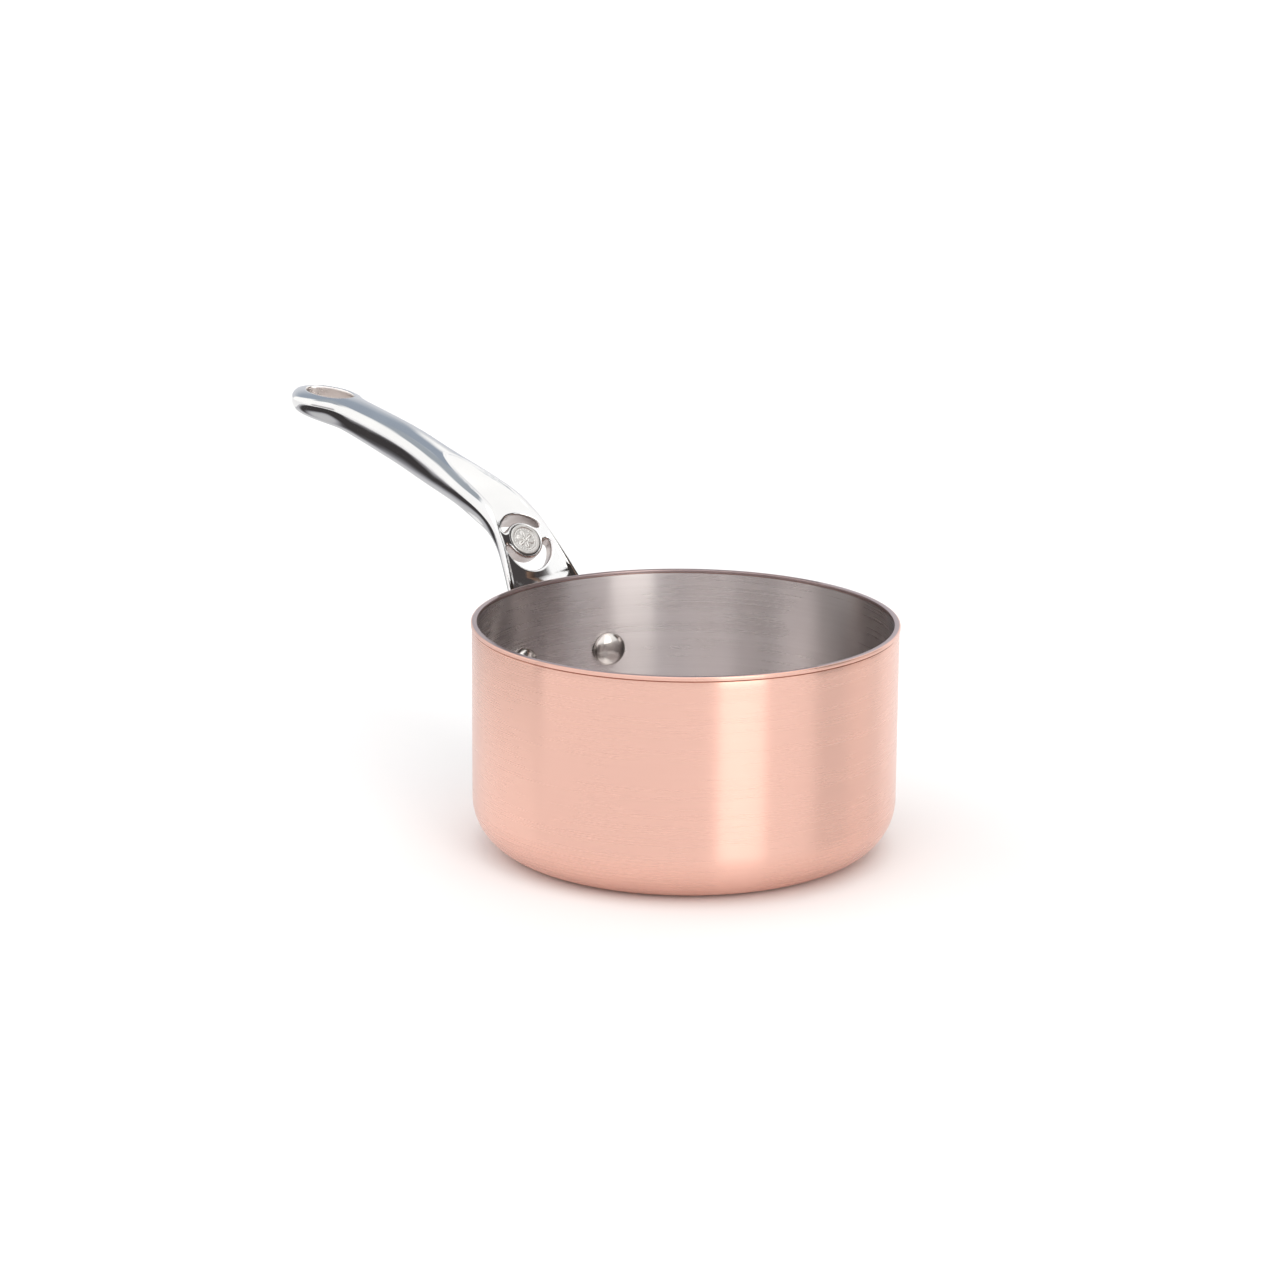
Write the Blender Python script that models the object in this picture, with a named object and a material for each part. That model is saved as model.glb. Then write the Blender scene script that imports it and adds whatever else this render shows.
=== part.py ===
"""Clad copper saucepan with a riveted cast steel handle, 16 cm nominal.

Lengths are written in millimetres and scaled to metres as the meshes are built.
Frame: origin on the pan's axis at the underside of the base, +Z up, +X along the handle.
"""

import math

import bpy
import bmesh
from mathutils import Matrix, Vector

MM = 0.001

# Pan body: the copper shell carries a thin steel lining, drawn as its own skin.
INNER_RADIUS = 80.0
LINING_THICKNESS = 0.4
SKIN_GAP = 0.3
COPPER_THICKNESS = 1.3
PAN_HEIGHT = 89.2
BOTTOM_CORNER_RADIUS = 20.0
RIM_LIP_PROUD = 0.36
RIM_LIP_HEIGHT = 1.6
RIM_LEDGE = 1.1
TURN_SEGMENTS = 72

# Rivets: two domed heads inside the pan, one on each side of the handle.
RIVET_AZIMUTH = 15.3
RIVET_HEIGHT = 57.7
RIVET_HEAD_RADIUS = 6.75
RIVET_DOME = 3.2
RIVET_SHANK_RADIUS = 3.0
RIVET_TAIL_RADIUS = 4.6
RIVET_HOLE_CLEARANCE = 0.35

# Handle: a spine of stations from the bottom of the foot plate to the end of the loop.
# Each row: x, z, half width, height above the widest line, depth below it,
# roundness, cross curvature towards the pan (1/mm), height of the crown over the spine.
# The foot plate stands 0.35 mm clear of the copper wall.
HANDLE_STATIONS = (
    (82.35, 44.4, 13.0, 0.9, 1.2, 4.0, 0.01214, 0.0),
    (82.35, 45.3, 20.0, 1.2, 1.9, 4.0, 0.01214, 0.0),
    (82.35, 47.5, 25.6, 1.3, 2.4, 4.5, 0.01214, 0.0),
    (82.35, 51.0, 28.9, 1.3, 2.7, 5.0, 0.01214, 0.0),
    (82.35, 57.0, 30.2, 1.3, 2.7, 5.0, 0.01214, 0.0),
    (82.4, 62.5, 28.9, 1.3, 2.7, 5.0, 0.01214, 0.0),
    (82.65, 67.0, 26.0, 1.3, 2.8, 4.5, 0.01214, 0.0),
    (83.9, 71.6, 23.0, 1.4, 3.0, 4.0, 0.0125, 0.0),
    (86.5, 75.9, 20.6, 1.5, 3.2, 3.6, 0.0135, 0.0),
    (90.2, 80.2, 18.7, 1.7, 3.6, 3.2, 0.015, 0.6),
    (94.2, 85.2, 17.2, 1.9, 4.0, 3.0, 0.016, 1.2),
    (98.7, 91.5, 15.6, 2.0, 4.8, 3.0, 0.016, 1.5),
    (103.5, 98.3, 13.9, 2.2, 5.8, 2.9, 0.015, 1.5),
    (107.6, 103.5, 12.9, 2.6, 7.2, 2.7, 0.012, 1.4),
    (111.8, 108.0, 12.4, 3.2, 8.6, 2.5, 0.007, 1.3),
    (116.4, 111.7, 12.2, 4.0, 9.6, 2.3, 0.002, 1.25),
    (122.0, 114.8, 12.1, 4.6, 10.0, 2.3, 0.0, 1.2),
    (129.5, 117.5, 11.8, 5.0, 9.8, 2.3, 0.0, 1.15),
    (140.0, 120.5, 11.0, 5.1, 9.8, 2.3, 0.0, 0.95),
    (150.0, 123.2, 10.0, 5.2, 10.5, 2.3, 0.0, 0.7),
    (160.0, 125.9, 9.0, 5.3, 11.1, 2.3, 0.0, 0.25),
    (172.0, 128.9, 8.3, 5.4, 11.5, 2.3, 0.0, 0.0),
    (186.0, 131.8, 8.1, 5.4, 11.4, 2.3, 0.0, 0.0),
    (200.0, 133.9, 8.1, 5.3, 11.0, 2.3, 0.0, 0.0),
    (214.0, 135.6, 8.2, 5.1, 10.3, 2.3, 0.0, 0.0),
    (226.0, 136.9, 8.5, 4.9, 9.6, 2.3, 0.0, 0.0),
    (233.0, 137.5, 9.6, 4.8, 9.0, 2.3, 0.0, 0.0),
    (239.0, 137.9, 11.5, 4.8, 8.6, 2.4, 0.0, 0.0),
    (245.0, 138.1, 12.9, 4.8, 8.2, 2.4, 0.0, 0.0),
    (251.2, 138.1, 13.3, 4.8, 7.7, 2.4, 0.0, 0.0),
    (257.8, 138.0, 12.3, 4.7, 7.3, 2.4, 0.0, 0.0),
    (263.2, 137.7, 10.1, 4.5, 6.8, 2.4, 0.0, 0.0),
    (267.1, 137.2, 6.9, 4.0, 5.7, 2.4, 0.0, 0.0),
    (269.5, 136.6, 3.2, 2.6, 3.7, 2.3, 0.0, 0.0),
)
STEPS_PER_SPAN = 2
SECTION_POINTS = 36

# Sunk front face of the blade: x on the spine, half width of the face.
FACE_STATIONS = (
    (88.0, 17.2),
    (94.2, 14.9),
    (98.8, 13.4),
    (103.9, 11.9),
    (107.9, 11.2),
    (110.6, 10.3),
    (113.4, 8.7),
    (117.0, 7.8),
    (124.0, 7.7),
    (132.0, 7.2),
    (140.5, 6.3),
    (148.5, 5.1),
    (154.5, 3.6),
    (158.6, 2.1),
    (160.5, 0.9),
)
FACE_DISH = 0.35
FACE_WALL_RISE = 8.0
FACE_WALL_DRAFT = 2.0

# Medallion on a round boss between two curved slots.
MEDALLION_X = 105.2
MEDALLION_RADIUS = 6.5
MEDALLION_SEAT_GAP = 0.35
MEDALLION_SEAT_DEPTH = 1.3
MEDALLION_PROUD = 0.45
SLOT_INNER_RADIUS = 8.0
SLOT_LENGTH_RADIUS = 12.6
SLOT_WIDTH_RADIUS = 11.0
SLOT_CENTRE_SHIFT = -0.7
UPPER_SLOT_HALF_ANGLE = 64.0
LOWER_SLOT_HALF_ANGLE = 83.0

# Hanging hole in the loop.
HOLE_X = 247.8
HOLE_HEIGHT = 137.0
HOLE_HALF_LENGTH = 14.6
HOLE_HALF_WIDTH = 7.2

SMOOTH_ANGLE = math.radians(32.0)


def clear_scene():
    for obj in list(bpy.data.objects):
        bpy.data.objects.remove(obj, do_unlink=True)


def make_material(name, colour, roughness):
    material = bpy.data.materials.new(name)
    material.use_nodes = True
    shader = material.node_tree.nodes["Principled BSDF"]
    shader.inputs["Base Color"].default_value = (*colour, 1.0)
    shader.inputs["Metallic"].default_value = 1.0
    shader.inputs["Roughness"].default_value = roughness
    material.diffuse_color = (*colour, 1.0)
    return material


def make_object(name, bm, material=None):
    bmesh.ops.recalc_face_normals(bm, faces=bm.faces)
    bmesh.ops.triangulate(bm, faces=bm.faces, quad_method="SHORT_EDGE")
    mesh = bpy.data.meshes.new(name)
    bm.to_mesh(mesh)
    bm.free()
    mesh.shade_smooth()
    mesh.set_sharp_from_angle(angle=SMOOTH_ANGLE)
    obj = bpy.data.objects.new(name, mesh)
    bpy.context.collection.objects.link(obj)
    if material is not None:
        mesh.materials.append(material)
    return obj


def make_cutter(name, bm):
    obj = make_object(name, bm)
    obj.hide_render = True
    obj.display_type = "WIRE"
    return obj


def cut(target, cutter):
    modifier = target.modifiers.new(cutter.name, "BOOLEAN")
    modifier.operation = "DIFFERENCE"
    modifier.solver = "EXACT"
    modifier.object = cutter


def arc(centre, radius, start, end, steps):
    points = []
    for i in range(steps + 1):
        angle = math.radians(start + (end - start) * i / steps)
        points.append((centre[0] + radius * math.cos(angle), centre[1] + radius * math.sin(angle)))
    return points


def revolve(profile, segments, matrix=None):
    """Turn a closed (radius, height) profile about Z; points on the axis become poles."""
    bm = bmesh.new()
    rings = []
    for radius, height in profile:
        if radius < 1e-6:
            rings.append([bm.verts.new((0.0, 0.0, height * MM))])
            continue
        ring = []
        for i in range(segments):
            angle = math.tau * i / segments
            across = radius * math.cos(angle)
            along = radius * math.sin(angle)
            ring.append(bm.verts.new((across * MM, along * MM, height * MM)))
        rings.append(ring)
    for index, ring in enumerate(rings):
        other = rings[(index + 1) % len(rings)]
        if len(ring) == 1 and len(other) == 1:
            continue
        for i in range(segments):
            j = (i + 1) % segments
            if len(ring) == 1:
                bm.faces.new((ring[0], other[i], other[j]))
            elif len(other) == 1:
                bm.faces.new((ring[i], other[0], ring[j]))
            else:
                bm.faces.new((ring[i], other[i], other[j], ring[j]))
    if matrix is not None:
        bm.transform(matrix)
    return bm


def prism(outline, matrix, low, high):
    """Extrude a closed outline along local Z from low to high, then place it with a matrix."""
    bm = bmesh.new()
    bottom = [bm.verts.new((a * MM, b * MM, low * MM)) for a, b in outline]
    top = [bm.verts.new((a * MM, b * MM, high * MM)) for a, b in outline]
    bm.faces.new(bottom)
    bm.faces.new(list(reversed(top)))
    count = len(outline)
    for i in range(count):
        j = (i + 1) % count
        bm.faces.new((bottom[i], top[i], top[j], bottom[j]))
    bm.transform(matrix)
    return bm


def catmull(rows, position):
    """Catmull-Rom value of a table of rows at a fractional row number."""
    last = len(rows) - 1
    index = min(int(position), last - 1)
    t = position - index
    before = rows[max(index - 1, 0)]
    start = rows[index]
    end = rows[index + 1]
    after = rows[min(index + 2, last)]
    values = []
    for p0, p1, p2, p3 in zip(before, start, end, after):
        a = 2.0 * p1
        b = p2 - p0
        c = 2.0 * p0 - 5.0 * p1 + 4.0 * p2 - p3
        d = -p0 + 3.0 * p1 - 3.0 * p2 + p3
        values.append(0.5 * (a + b * t + c * t * t + d * t * t * t))
    return values


def spine_frame(position):
    """Values, origin, along and normal directions of the handle's spine."""
    last = len(HANDLE_STATIONS) - 1
    row = catmull(HANDLE_STATIONS, position)
    ahead = catmull(HANDLE_STATIONS, min(position + 0.05, last))
    behind = catmull(HANDLE_STATIONS, max(position - 0.05, 0.0))
    along = Vector((ahead[0] - behind[0], 0.0, ahead[1] - behind[1])).normalized()
    normal = Vector((-along.z, 0.0, along.x))
    return row, Vector((row[0], 0.0, row[1])), along, normal


def spine_position(x):
    """Row number at which the spine passes a given x."""
    low = 6.0
    high = float(len(HANDLE_STATIONS) - 1)
    for _ in range(50):
        middle = 0.5 * (low + high)
        if catmull(HANDLE_STATIONS, middle)[0] < x:
            low = middle
        else:
            high = middle
    return 0.5 * (low + high)


def wrap_lift(u, curvature):
    """How far a section point leans towards the pan where the section wraps round it."""
    if curvature < 1e-5:
        return 0.0
    return (1.0 - math.sqrt(max(0.0, 1.0 - (curvature * u) ** 2))) / curvature


def skin_rings(bm, rings):
    """Join a run of equal closed rings with quads and close both ends."""
    for first, second in zip(rings, rings[1:]):
        count = len(first)
        for i in range(count):
            j = (i + 1) % count
            bm.faces.new((first[i], first[j], second[j], second[i]))
    bm.faces.new(list(reversed(rings[0])))
    bm.faces.new(rings[-1])


def handle_section(position):
    row, origin, _, normal = spine_frame(position)
    half, above, below, roundness, curvature, crown = row[2:8]
    points = []
    for i in range(SECTION_POINTS):
        angle = math.tau * i / SECTION_POINTS
        reach = math.cos(angle)
        rise = max(0.0, 1.0 - abs(reach) ** roundness) ** (1.0 / roundness)
        u = half * reach
        v = crown - above + (above * rise if i < SECTION_POINTS / 2 else -below * rise)
        v += wrap_lift(u, curvature)
        points.append((origin + Vector((0.0, u, 0.0)) + normal * v) * MM)
    return points


def handle_body():
    bm = bmesh.new()
    rings = []
    total = (len(HANDLE_STATIONS) - 1) * STEPS_PER_SPAN
    for i in range(total + 1):
        section = handle_section(i / STEPS_PER_SPAN)
        rings.append([bm.verts.new(point) for point in section])
    skin_rings(bm, rings)
    return bm


def face_cutter():
    """Body that sinks the spearhead face into the top of the blade."""
    bm = bmesh.new()
    rings = []
    steps = 3
    total = (len(FACE_STATIONS) - 1) * steps
    for i in range(total + 1):
        x, half = catmull(FACE_STATIONS, i / steps)
        row, origin, _, normal = spine_frame(spine_position(x))
        half = max(half, 0.5)
        run_out = 1.6 * max(0.0, 1.0 - i / 4.0)
        ring = []
        for k in range(9):
            u = half * (k / 4.0 - 1.0)
            v = run_out + wrap_lift(u, row[6]) + FACE_DISH * (u / half) ** 2
            ring.append(bm.verts.new((origin + Vector((0.0, u, 0.0)) + normal * v) * MM))
        for side in (1.0, -1.0):
            u = side * (half + FACE_WALL_DRAFT)
            v = run_out + FACE_WALL_RISE
            ring.append(bm.verts.new((origin + Vector((0.0, u, 0.0)) + normal * v) * MM))
        rings.append(ring)
    skin_rings(bm, rings)
    return bm


def blade_matrix():
    """Local X along the blade, local Y across it, local Z out of its front face."""
    _, origin, along, normal = spine_frame(spine_position(MEDALLION_X))
    side = normal.cross(along)
    matrix = Matrix.Identity(4)
    matrix.col[0][:3] = along
    matrix.col[1][:3] = side
    matrix.col[2][:3] = normal
    matrix.col[3][:3] = origin * MM
    return matrix


def slot_outline(middle, half_angle):
    """Curved slot between the boss and an oval, with rounded ends."""
    inner = []
    outer = []
    steps = 24
    rounding = 11.0
    for i in range(steps + 1):
        sweep = math.sin(math.pi * (i / steps - 0.5))
        offset = sweep * half_angle
        angle = math.radians(middle + offset)
        c = math.cos(angle)
        s = math.sin(angle)
        reach = 1.0 / math.sqrt((c / SLOT_LENGTH_RADIUS) ** 2 + (s / SLOT_WIDTH_RADIUS) ** 2)
        reach += SLOT_CENTRE_SHIFT * c
        centre = 0.5 * (reach + SLOT_INNER_RADIUS)
        half = 0.5 * (reach - SLOT_INNER_RADIUS)
        past = (abs(offset) - (half_angle - rounding)) / rounding
        if past > 0.0:
            half *= math.sqrt(max(0.0, 1.0 - past * past))
        half = max(half, 0.02)
        outer.append(((centre + half) * c, (centre + half) * s))
        inner.append(((centre - half) * c, (centre - half) * s))
    return outer + list(reversed(inner))


def radial_matrix(azimuth, height):
    """Local Z points from a rivet inwards to the pan's axis; the origin is on that axis."""
    angle = math.radians(azimuth)
    inward = Vector((-math.cos(angle), -math.sin(angle), 0.0))
    across = Vector((0.0, 0.0, 1.0)).cross(inward)
    matrix = Matrix.Identity(4)
    matrix.col[0][:3] = across
    matrix.col[1][:3] = inward.cross(across)
    matrix.col[2][:3] = inward
    matrix.col[3][:3] = (0.0, 0.0, height * MM)
    return matrix


def copper_profile():
    outer = INNER_RADIUS + LINING_THICKNESS + SKIN_GAP + COPPER_THICKNESS
    inner = outer - COPPER_THICKNESS
    lip = outer + RIM_LIP_PROUD
    corner = BOTTOM_CORNER_RADIUS
    low = PAN_HEIGHT - RIM_LIP_HEIGHT
    profile = [(INNER_RADIUS, PAN_HEIGHT - 0.25), (INNER_RADIUS + 0.25, PAN_HEIGHT)]
    profile += [(lip - 0.45, PAN_HEIGHT), (lip - 0.12, PAN_HEIGHT - 0.14), (lip, PAN_HEIGHT - 0.45)]
    profile += [(lip, low + 0.2), (outer, low)]
    profile += arc((outer - corner, corner), corner, 0.0, -90.0, 8)
    profile += [(0.0, 0.0), (0.0, COPPER_THICKNESS)]
    profile += arc((outer - corner, corner), corner - COPPER_THICKNESS, -90.0, 0.0, 8)
    profile += [(inner, PAN_HEIGHT - RIM_LEDGE), (INNER_RADIUS, PAN_HEIGHT - RIM_LEDGE)]
    return profile


def lining_profile():
    outer = INNER_RADIUS + LINING_THICKNESS
    wall_outside = INNER_RADIUS + LINING_THICKNESS + SKIN_GAP + COPPER_THICKNESS
    centre = (wall_outside - BOTTOM_CORNER_RADIUS, BOTTOM_CORNER_RADIUS)
    bend = outer - centre[0]
    top = PAN_HEIGHT - RIM_LEDGE - SKIN_GAP
    profile = [(INNER_RADIUS, top), (outer, top)]
    profile += arc(centre, bend, 0.0, -90.0, 8)
    profile += [(0.0, centre[1] - bend), (0.0, centre[1] - bend + LINING_THICKNESS)]
    profile += arc(centre, bend - LINING_THICKNESS, -90.0, 0.0, 8)
    return profile


def rivet_profile():
    """Head inside the pan, shank through the wall, tail set flush into the foot plate."""
    seat = math.sqrt(INNER_RADIUS ** 2 - RIVET_HEAD_RADIUS ** 2) - 0.35
    tail = HANDLE_STATIONS[4][0] + HANDLE_STATIONS[4][3] + HANDLE_STATIONS[4][4] + 0.25
    profile = [(0.0, -(seat - RIVET_DOME))]
    steps = 7
    for i in range(1, steps):
        angle = 0.5 * math.pi * i / steps
        radius = RIVET_HEAD_RADIUS * math.sin(angle)
        profile.append((radius, -(seat - 0.5 - (RIVET_DOME - 0.5) * math.cos(angle))))
    profile += [(RIVET_HEAD_RADIUS, -(seat - 0.45)), (RIVET_HEAD_RADIUS - 0.1, -seat)]
    profile += [(RIVET_SHANK_RADIUS, -seat), (RIVET_SHANK_RADIUS, -(tail - 1.9))]
    profile += [(RIVET_TAIL_RADIUS, -(tail - 0.45)), (RIVET_TAIL_RADIUS - 0.6, -(tail - 0.12)), (0.0, -tail)]
    return profile


def medallion_profile():
    top = MEDALLION_PROUD
    low = 0.25 - MEDALLION_SEAT_DEPTH
    rim = MEDALLION_RADIUS
    profile = [(0.0, top - 0.05), (1.1, top - 0.1), (1.5, top - 0.3), (rim - 1.5, top - 0.3)]
    profile += [(rim - 1.1, top - 0.1), (rim - 0.4, top), (rim - 0.1, top - 0.15), (rim, top - 0.4)]
    profile += [(rim, low + 0.2), (rim - 0.2, low), (0.0, low)]
    return profile


def oval(half_length, half_width, steps):
    points = []
    for i in range(steps):
        angle = math.tau * i / steps
        points.append((half_length * math.cos(angle), half_width * math.sin(angle)))
    return points


def build():
    clear_scene()
    copper = make_material("copper", (0.78, 0.44, 0.31), 0.3)
    lining_steel = make_material("lining_steel", (0.6, 0.58, 0.55), 0.3)
    cast_steel = make_material("cast_steel", (0.66, 0.66, 0.66), 0.12)
    rivet_steel = make_material("rivet_steel", (0.62, 0.61, 0.6), 0.2)
    medallion_steel = make_material("medallion_steel", (0.42, 0.41, 0.39), 0.5)

    shell = make_object("copper_shell", revolve(copper_profile(), TURN_SEGMENTS), copper)
    lining = make_object("steel_lining", revolve(lining_profile(), TURN_SEGMENTS), lining_steel)
    handle = make_object("handle", handle_body(), cast_steel)

    cut(handle, make_cutter("cut_face", face_cutter()))
    blade = blade_matrix()
    upper = slot_outline(0.0, UPPER_SLOT_HALF_ANGLE)
    lower = slot_outline(180.0, LOWER_SLOT_HALF_ANGLE)
    cut(handle, make_cutter("cut_slot_upper", prism(upper, blade, -18.0, 8.0)))
    cut(handle, make_cutter("cut_slot_lower", prism(lower, blade, -18.0, 8.0)))
    seat = MEDALLION_RADIUS + MEDALLION_SEAT_GAP
    cut(handle, make_cutter("cut_seat", prism(oval(seat, seat, 40), blade, -MEDALLION_SEAT_DEPTH, 6.0)))
    hole_at = Matrix.Translation(Vector((HOLE_X, 0.0, HOLE_HEIGHT)) * MM)
    hole = oval(HOLE_HALF_LENGTH, HOLE_HALF_WIDTH, 40)
    cut(handle, make_cutter("cut_hanging_hole", prism(hole, hole_at, -20.0, 8.0)))

    profile = rivet_profile()
    bore = RIVET_SHANK_RADIUS + RIVET_HOLE_CLEARANCE
    tail = -profile[-1][1]
    sink = [(0.0, -70.0), (bore, -70.0), (bore, -(tail - 2.05))]
    sink += [(RIVET_TAIL_RADIUS + 0.4, -(tail - 0.5))]
    sink += [(RIVET_TAIL_RADIUS + 0.4, -(tail + 6.0)), (0.0, -(tail + 6.0))]
    for side, azimuth in (("left", RIVET_AZIMUTH), ("right", -RIVET_AZIMUTH)):
        at = radial_matrix(azimuth, RIVET_HEIGHT)
        make_object("rivet_" + side, revolve(profile, 28, at), rivet_steel)
        drill = make_cutter("cut_bore_" + side, prism(oval(bore, bore, 28), at, -100.0, -70.0))
        countersink = make_cutter("cut_sink_" + side, revolve(sink, 28, at))
        cut(shell, drill)
        cut(lining, drill)
        cut(handle, countersink)

    make_object("medallion", revolve(medallion_profile(), 40, blade), medallion_steel)


build()
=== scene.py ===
"""Looks of the clad copper saucepan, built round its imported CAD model.

Lengths are written in millimetres in the shape code and scaled to metres as the meshes are made.
The frame is the CAD's: origin on the pan's axis at the underside of the base, +X along the handle.
"""

import math

import bpy
import numpy as np
from mathutils import Matrix, Vector


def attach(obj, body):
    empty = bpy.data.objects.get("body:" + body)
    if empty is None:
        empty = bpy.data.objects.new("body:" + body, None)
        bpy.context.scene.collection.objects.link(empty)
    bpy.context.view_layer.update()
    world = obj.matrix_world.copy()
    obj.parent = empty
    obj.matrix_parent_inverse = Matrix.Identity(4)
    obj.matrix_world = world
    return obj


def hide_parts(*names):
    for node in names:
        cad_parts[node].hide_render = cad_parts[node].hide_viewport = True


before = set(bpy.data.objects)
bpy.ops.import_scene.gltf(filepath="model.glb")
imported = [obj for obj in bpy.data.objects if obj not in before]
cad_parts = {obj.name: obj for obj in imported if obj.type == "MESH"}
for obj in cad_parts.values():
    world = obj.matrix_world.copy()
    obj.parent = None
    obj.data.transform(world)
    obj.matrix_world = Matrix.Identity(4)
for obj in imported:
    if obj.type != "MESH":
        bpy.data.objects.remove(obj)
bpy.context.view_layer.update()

MM = 0.001

# Pan body.
INNER_RADIUS = 80.0
LINING_THICKNESS = 0.4
SKIN_GAP = 0.3
COPPER_THICKNESS = 1.3
OUTER_RADIUS = INNER_RADIUS + LINING_THICKNESS + SKIN_GAP + COPPER_THICKNESS
PAN_HEIGHT = 89.2
CORNER_RADIUS = 20.0
LIP_PROUD = 0.36
LIP_HEIGHT = 1.6
RIM_LEDGE = 1.1
TURN_SEGMENTS = 288
WALL_ROWS = 24

# Rivets.
RIVET_AZIMUTH = 15.3
RIVET_HEIGHT = 57.7
RIVET_HEAD_RADIUS = 6.75
RIVET_DOME = 3.2
RIVET_SHANK_RADIUS = 3.0
RIVET_TAIL_RADIUS = 4.6
RIVET_CLEARANCE = 0.35

# Handle spine: x, z, half width, height above the widest line, depth below it,
# roundness, cross curvature towards the pan (1/mm), height of the crown over the spine.
HANDLE_STATIONS = np.array((
    (82.35, 44.4, 13.0, 0.9, 1.2, 4.0, 0.01214, 0.0),
    (82.35, 45.3, 20.0, 1.2, 1.9, 4.0, 0.01214, 0.0),
    (82.35, 47.5, 25.6, 1.3, 2.4, 4.5, 0.01214, 0.0),
    (82.35, 51.0, 28.9, 1.3, 2.7, 5.0, 0.01214, 0.0),
    (82.35, 57.0, 30.2, 1.3, 2.7, 5.0, 0.01214, 0.0),
    (82.4, 62.5, 28.9, 1.3, 2.7, 5.0, 0.01214, 0.0),
    (82.65, 67.0, 26.0, 1.3, 2.8, 4.5, 0.01214, 0.0),
    (83.9, 71.6, 23.0, 1.4, 3.0, 4.0, 0.0125, 0.0),
    (86.5, 75.9, 20.6, 1.5, 3.2, 3.6, 0.0135, 0.0),
    (90.2, 80.2, 18.7, 1.7, 3.6, 3.2, 0.015, 0.6),
    (94.2, 85.2, 17.2, 1.9, 4.0, 3.0, 0.016, 1.2),
    (98.7, 91.5, 15.6, 2.0, 4.8, 3.0, 0.016, 1.5),
    (103.5, 98.3, 13.9, 2.2, 5.8, 2.9, 0.015, 1.5),
    (107.6, 103.5, 12.9, 2.6, 7.2, 2.7, 0.012, 1.4),
    (111.8, 108.0, 12.4, 3.2, 8.6, 2.5, 0.007, 1.3),
    (116.4, 111.7, 12.2, 4.0, 9.6, 2.3, 0.002, 1.25),
    (122.0, 114.8, 12.1, 4.6, 10.0, 2.3, 0.0, 1.2),
    (129.5, 117.5, 11.8, 5.0, 9.8, 2.3, 0.0, 1.15),
    (140.0, 120.5, 11.0, 5.1, 9.8, 2.3, 0.0, 0.95),
    (150.0, 123.2, 10.0, 5.2, 10.5, 2.3, 0.0, 0.7),
    (160.0, 125.9, 9.0, 5.3, 11.1, 2.3, 0.0, 0.25),
    (172.0, 128.9, 8.3, 5.4, 11.5, 2.3, 0.0, 0.0),
    (186.0, 131.8, 8.1, 5.4, 11.4, 2.3, 0.0, 0.0),
    (200.0, 133.9, 8.1, 5.3, 11.0, 2.3, 0.0, 0.0),
    (214.0, 135.6, 8.2, 5.1, 10.3, 2.3, 0.0, 0.0),
    (226.0, 136.9, 8.5, 4.9, 9.6, 2.3, 0.0, 0.0),
    (233.0, 137.5, 9.6, 4.8, 9.0, 2.3, 0.0, 0.0),
    (239.0, 137.9, 11.5, 4.8, 8.6, 2.4, 0.0, 0.0),
    (245.0, 138.1, 12.9, 4.8, 8.2, 2.4, 0.0, 0.0),
    (251.2, 138.1, 13.3, 4.8, 7.7, 2.4, 0.0, 0.0),
    (257.8, 138.0, 12.3, 4.7, 7.3, 2.4, 0.0, 0.0),
    (263.2, 137.7, 10.1, 4.5, 6.8, 2.4, 0.0, 0.0),
    (267.1, 137.2, 6.9, 4.0, 5.7, 2.4, 0.0, 0.0),
    (269.5, 136.6, 3.2, 2.6, 3.7, 2.3, 0.0, 0.0),
))
SPINE_STEP = 0.25
SPINE_SMOOTHING = 1.8
SPINE_STRIDE = 4
END_ROUNDING = 1.0

# Sunk front face of the blade: x on the spine, half width.
FACE_STATIONS = np.array((
    (88.0, 17.2),
    (94.2, 14.9),
    (98.8, 13.4),
    (103.9, 11.9),
    (107.9, 11.2),
    (110.6, 10.3),
    (113.4, 8.7),
    (117.0, 7.8),
    (124.0, 7.7),
    (132.0, 7.2),
    (140.5, 6.3),
    (148.5, 5.1),
    (154.5, 3.6),
    (158.6, 2.1),
    (160.5, 0.9),
))
FACE_DISH = 0.35
FACE_DROP = 0.6
FACE_START_X = 86.0
FACE_END_X = 160.6
FACE_FLOOR_ROUNDING = 0.9
FACE_END_ROUNDING = 0.8
FACE_EDGE_ROUNDING = 0.9
# Nearer the pan than this x, the floor of the face rises with the bend of the blade.
FACE_ROOT_X = 95.5
FACE_ROOT_LENGTH = 7.5
FACE_ROOT_RISE = 1.6

# Medallion and the two curved slots round its boss.
MEDALLION_X = 105.2
MEDALLION_RADIUS = 6.5
SEAT_GAP = 0.35
SEAT_DEPTH = 1.3
MEDALLION_PROUD = 0.45
SLOT_INNER_RADIUS = 8.0
SLOT_LENGTH_RADIUS = 12.6
SLOT_WIDTH_RADIUS = 11.0
SLOT_CENTRE_SHIFT = -0.7
UPPER_SLOT_HALF_ANGLE = 64.0
LOWER_SLOT_HALF_ANGLE = 83.0
SLOT_EDGE_ROUNDING = 1.2
SEAT_FLOOR_ROUNDING = 0.5
SEAT_EDGE_ROUNDING = 0.6

# Hanging hole in the loop.
HOLE_X = 247.8
HOLE_HALF_LENGTH = 14.6
HOLE_HALF_WIDTH = 7.2
HOLE_EDGE_ROUNDING = 1.3

# Distance from the pan's axis to the end of a rivet's tail, just proud of the foot plate.
RIVET_TAIL_END = HANDLE_STATIONS[4][0] + HANDLE_STATIONS[4][3] + HANDLE_STATIONS[4][4] + 0.25
RIVET_SINK_DEPTH = 2.05
BORE_EDGE_ROUNDING = 0.2

# Grid on which the handle's surface is found: cell size, then its reach in x, z and y.
NET_PITCH = 0.475
NET_X = (75.0, 272.5)
NET_Z = (41.5, 143.5)
NET_HALF_WIDTH = 32.0
NET_MARGIN = 1.6

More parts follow.
